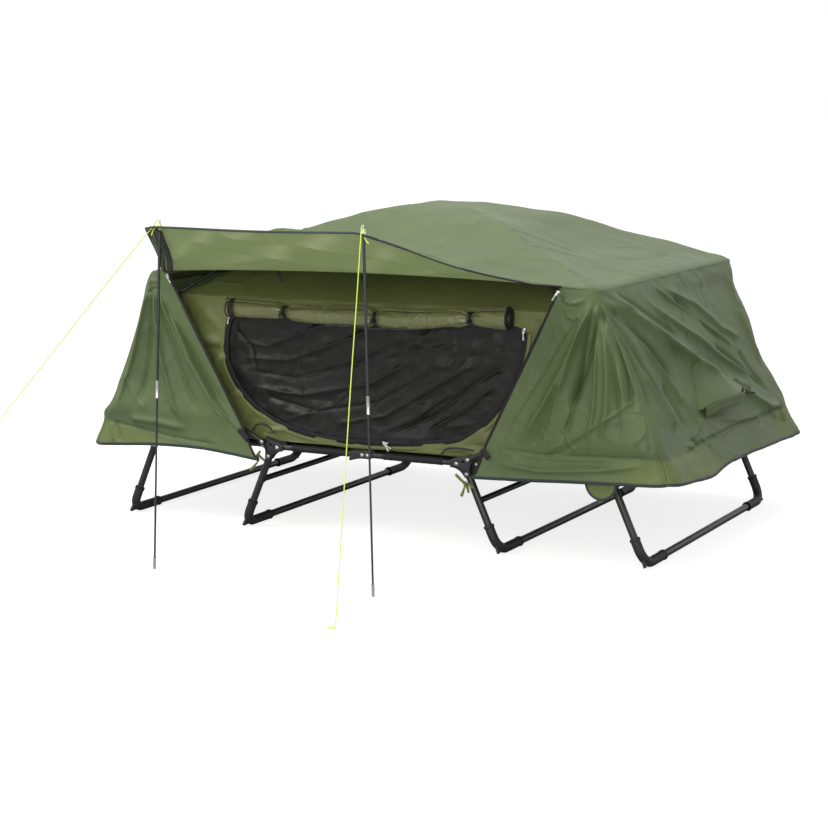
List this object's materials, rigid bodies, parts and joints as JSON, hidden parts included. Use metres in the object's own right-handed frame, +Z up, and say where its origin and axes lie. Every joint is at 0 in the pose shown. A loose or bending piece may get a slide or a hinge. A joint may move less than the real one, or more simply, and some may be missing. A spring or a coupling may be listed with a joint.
{
  "type": "tent cot",
  "caption": "Folding two-person camp bed on U-shaped legs that carries a domed tent with a raised awning, two awning poles and guy lines.",
  "frame": {"origin": "on the floor, under the middle of the footprint with the awning and without the guy lines", "axes": "+X along the length of the bed, to the right seen from the entrance; +Y from the entrance to the back; +Z up"},
  "size_m": [2.3929, 2.1312, 1.0501],
  "materials": {
    "black_tube": "matt black powder coat",
    "bare_steel": "zinc plated",
    "zip_metal": "plated",
    "boot_rubber": "matt",
    "fibreglass": "dark fibreglass rod",
    "fly_cloth": "green coated polyester",
    "inner_cloth": "dark green polyester",
    "net": "fine black mesh",
    "bed_cloth": "black woven polyester",
    "guy_cord": "bright braided cord"
  },
  "bodies": {
    "root": {"centre_hinge_front": "black_tube", "centre_hinge_back": "black_tube", "bed_middle": "bed_cloth", "roof_pole_a": "fibreglass", "roof_pole_b": "fibreglass", "fly_roof": "fly_cloth", "awning_panel": "fly_cloth", "fly_back": "fly_cloth", "inner_wall_front": "inner_cloth", "inner_wall_back": "inner_cloth", "inner_roof": "inner_cloth", "door_mesh": "net", "door_flap_roll": "inner_cloth"},
    "half_left": {"mid_rail_front_left": "black_tube", "mid_rail_back_left": "black_tube", "hinge_plate_front_left": "black_tube", "hinge_plate_back_left": "black_tube", "fly_front_left": "fly_cloth", "fly_end_left": "fly_cloth", "inner_wall_left": "inner_cloth"},
    "half_right": {"mid_rail_front_right": "black_tube", "mid_rail_back_right": "black_tube", "hinge_plate_front_right": "black_tube", "hinge_plate_back_right": "black_tube", "fly_front_right": "fly_cloth", "fly_end_right": "fly_cloth", "inner_wall_right": "inner_cloth"},
    "end_left": {"end_frame_left": "black_tube", "bed_end_left": "bed_cloth", "leg_saddle_front_left": "bare_steel", "leg_saddle_back_left": "bare_steel"},
    "end_right": {"end_frame_right": "black_tube", "bed_end_right": "bed_cloth", "leg_saddle_front_right": "bare_steel", "leg_saddle_back_right": "bare_steel"},
    "bow_left": {"tent_bow_left": "black_tube"},
    "bow_right": {"tent_bow_right": "black_tube"},
    "mid_leg_left": {"leg_mid_left": "black_tube", "boot_mid_front_left": "boot_rubber", "boot_mid_back_left": "boot_rubber"},
    "mid_leg_right": {"leg_mid_right": "black_tube", "boot_mid_front_right": "boot_rubber", "boot_mid_back_right": "boot_rubber"},
    "end_leg_left": {"leg_end_left": "black_tube", "boot_end_front_left": "boot_rubber", "boot_end_back_left": "boot_rubber"},
    "end_leg_right": {"leg_end_right": "black_tube", "boot_end_front_right": "boot_rubber", "boot_end_back_right": "boot_rubber"},
    "awning_pole_left": {"pole_upper_left": "black_tube", "pole_ferrule_left": "bare_steel", "guy_left": "guy_cord"},
    "awning_pole_right": {"pole_upper_right": "black_tube", "pole_ferrule_right": "bare_steel", "guy_right": "guy_cord"},
    "pole_foot_left": {"pole_lower_left": "black_tube"},
    "pole_foot_right": {"pole_lower_right": "black_tube"},
    "slider_left": {"zip_slider_left": "zip_metal"},
    "slider_right": {"zip_slider_right": "zip_metal"}
  },
  "joints": [
    {"name": "centre_fold_left", "type": "hinge", "parent": "root", "child": "half_left", "pos_m": [-0.01, 0.2796, 0.278], "axis": [0, -1, 0], "range_deg": [0, 50], "deforming": ["bed_middle", "roof_pole_a", "roof_pole_b", "fly_roof", "awning_panel", "fly_front_left", "fly_front_right", "fly_end_left", "fly_end_right", "fly_back", "inner_wall_front", "inner_wall_back", "inner_wall_left", "inner_wall_right", "inner_roof", "door_mesh", "door_flap_roll"]},
    {"name": "centre_fold_right", "type": "hinge", "parent": "root", "child": "half_right", "pos_m": [0.01, 0.2796, 0.278], "axis": [0, 1, 0], "range_deg": [0, 50]},
    {"name": "end_fold_left", "type": "hinge", "parent": "half_left", "child": "end_left", "pos_m": [-0.386, 0.2796, 0.278], "axis": [0, 1, 0], "range_deg": [0, 160]},
    {"name": "end_fold_right", "type": "hinge", "parent": "half_right", "child": "end_right", "pos_m": [0.386, 0.2796, 0.278], "axis": [0, -1, 0], "range_deg": [0, 160]},
    {"name": "bow_fold_left", "type": "hinge", "parent": "half_left", "child": "bow_left", "pos_m": [-0.372, 0.2796, 0.296], "axis": [0, 1, 0], "range_deg": [0, 100]},
    {"name": "bow_fold_right", "type": "hinge", "parent": "half_right", "child": "bow_right", "pos_m": [0.372, 0.2796, 0.296], "axis": [0, -1, 0], "range_deg": [0, 100]},
    {"name": "mid_leg_fold_left", "type": "hinge", "parent": "half_left", "child": "mid_leg_left", "pos_m": [-0.36, 0.2796, 0.247], "axis": [0, -1, 0], "range_deg": [0, 112]},
    {"name": "mid_leg_fold_right", "type": "hinge", "parent": "half_right", "child": "mid_leg_right", "pos_m": [0.36, 0.2796, 0.247], "axis": [0, 1, 0], "range_deg": [0, 112]},
    {"name": "end_leg_fold_left", "type": "hinge", "parent": "end_left", "child": "end_leg_left", "pos_m": [-0.829, 0.2796, 0.252], "axis": [0, -1, 0], "range_deg": [0, 110]},
    {"name": "end_leg_fold_right", "type": "hinge", "parent": "end_right", "child": "end_leg_right", "pos_m": [0.829, 0.2796, 0.252], "axis": [0, 1, 0], "range_deg": [0, 110]},
    {"name": "pole_tilt_left", "type": "hinge", "parent": "half_left", "child": "awning_pole_left", "pos_m": [-0.3346, -0.8894, 1.028], "axis": [1, 0, 0], "range_deg": [-20, 30]},
    {"name": "pole_tilt_right", "type": "hinge", "parent": "half_right", "child": "awning_pole_right", "pos_m": [0.3479, -0.8894, 1.028], "axis": [1, 0, 0], "range_deg": [-20, 30]},
    {"name": "pole_pull_left", "type": "slide", "parent": "awning_pole_left", "child": "pole_foot_left", "axis": [-0.0548, 0, -0.9985], "range_m": [0, 0.04]},
    {"name": "pole_pull_right", "type": "slide", "parent": "awning_pole_right", "child": "pole_foot_right", "axis": [0.0147, 0, -0.9999], "range_m": [0, 0.04]},
    {"name": "zip_travel_left", "type": "slide", "parent": "half_left", "child": "slider_left", "axis": [0.4963, -0.0296, -0.8676], "range_m": [0, 0.58]},
    {"name": "zip_travel_right", "type": "slide", "parent": "half_right", "child": "slider_right", "axis": [-0.3775, -0.0315, -0.9255], "range_m": [0, 0.54]}
  ],
  "couplings": [
    {"joint": "centre_fold_right", "follows": "centre_fold_left", "ratio": 1}
  ]
}
